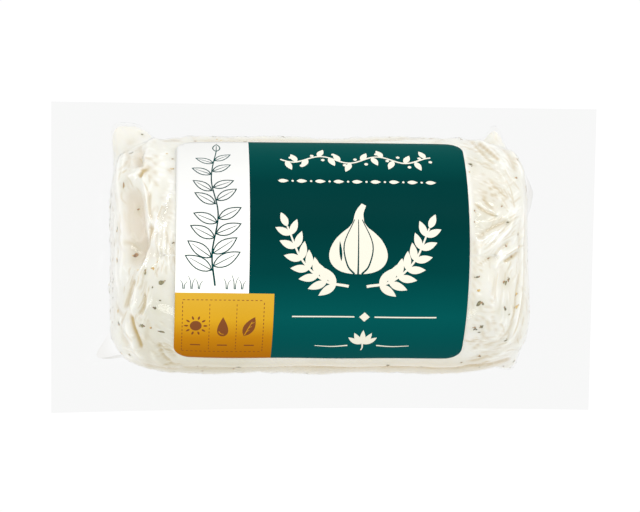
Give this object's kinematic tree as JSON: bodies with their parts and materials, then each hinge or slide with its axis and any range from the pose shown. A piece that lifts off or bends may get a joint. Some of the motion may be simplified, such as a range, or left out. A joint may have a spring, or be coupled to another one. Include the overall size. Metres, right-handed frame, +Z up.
{
  "type": "packed herb goat cheese log",
  "caption": "Short fat log of soft white goat cheese with herb flecks, sealed in a clear wrinkled film pack with a flat border and a curved label on top.",
  "frame": {"origin": "centre of the pack's bounding box at its flat back web", "axes": "+X along the log, +Y to the back edge of the label, +Z up from the back web to the label"},
  "size_m": [0.1066, 0.0602, 0.0408],
  "materials": {
    "film": "gloss",
    "label_paper": "satin"
  },
  "bodies": {
    "root": {"sealed_pouch": "film", "label": "label_paper"}
  },
  "joints": []
}
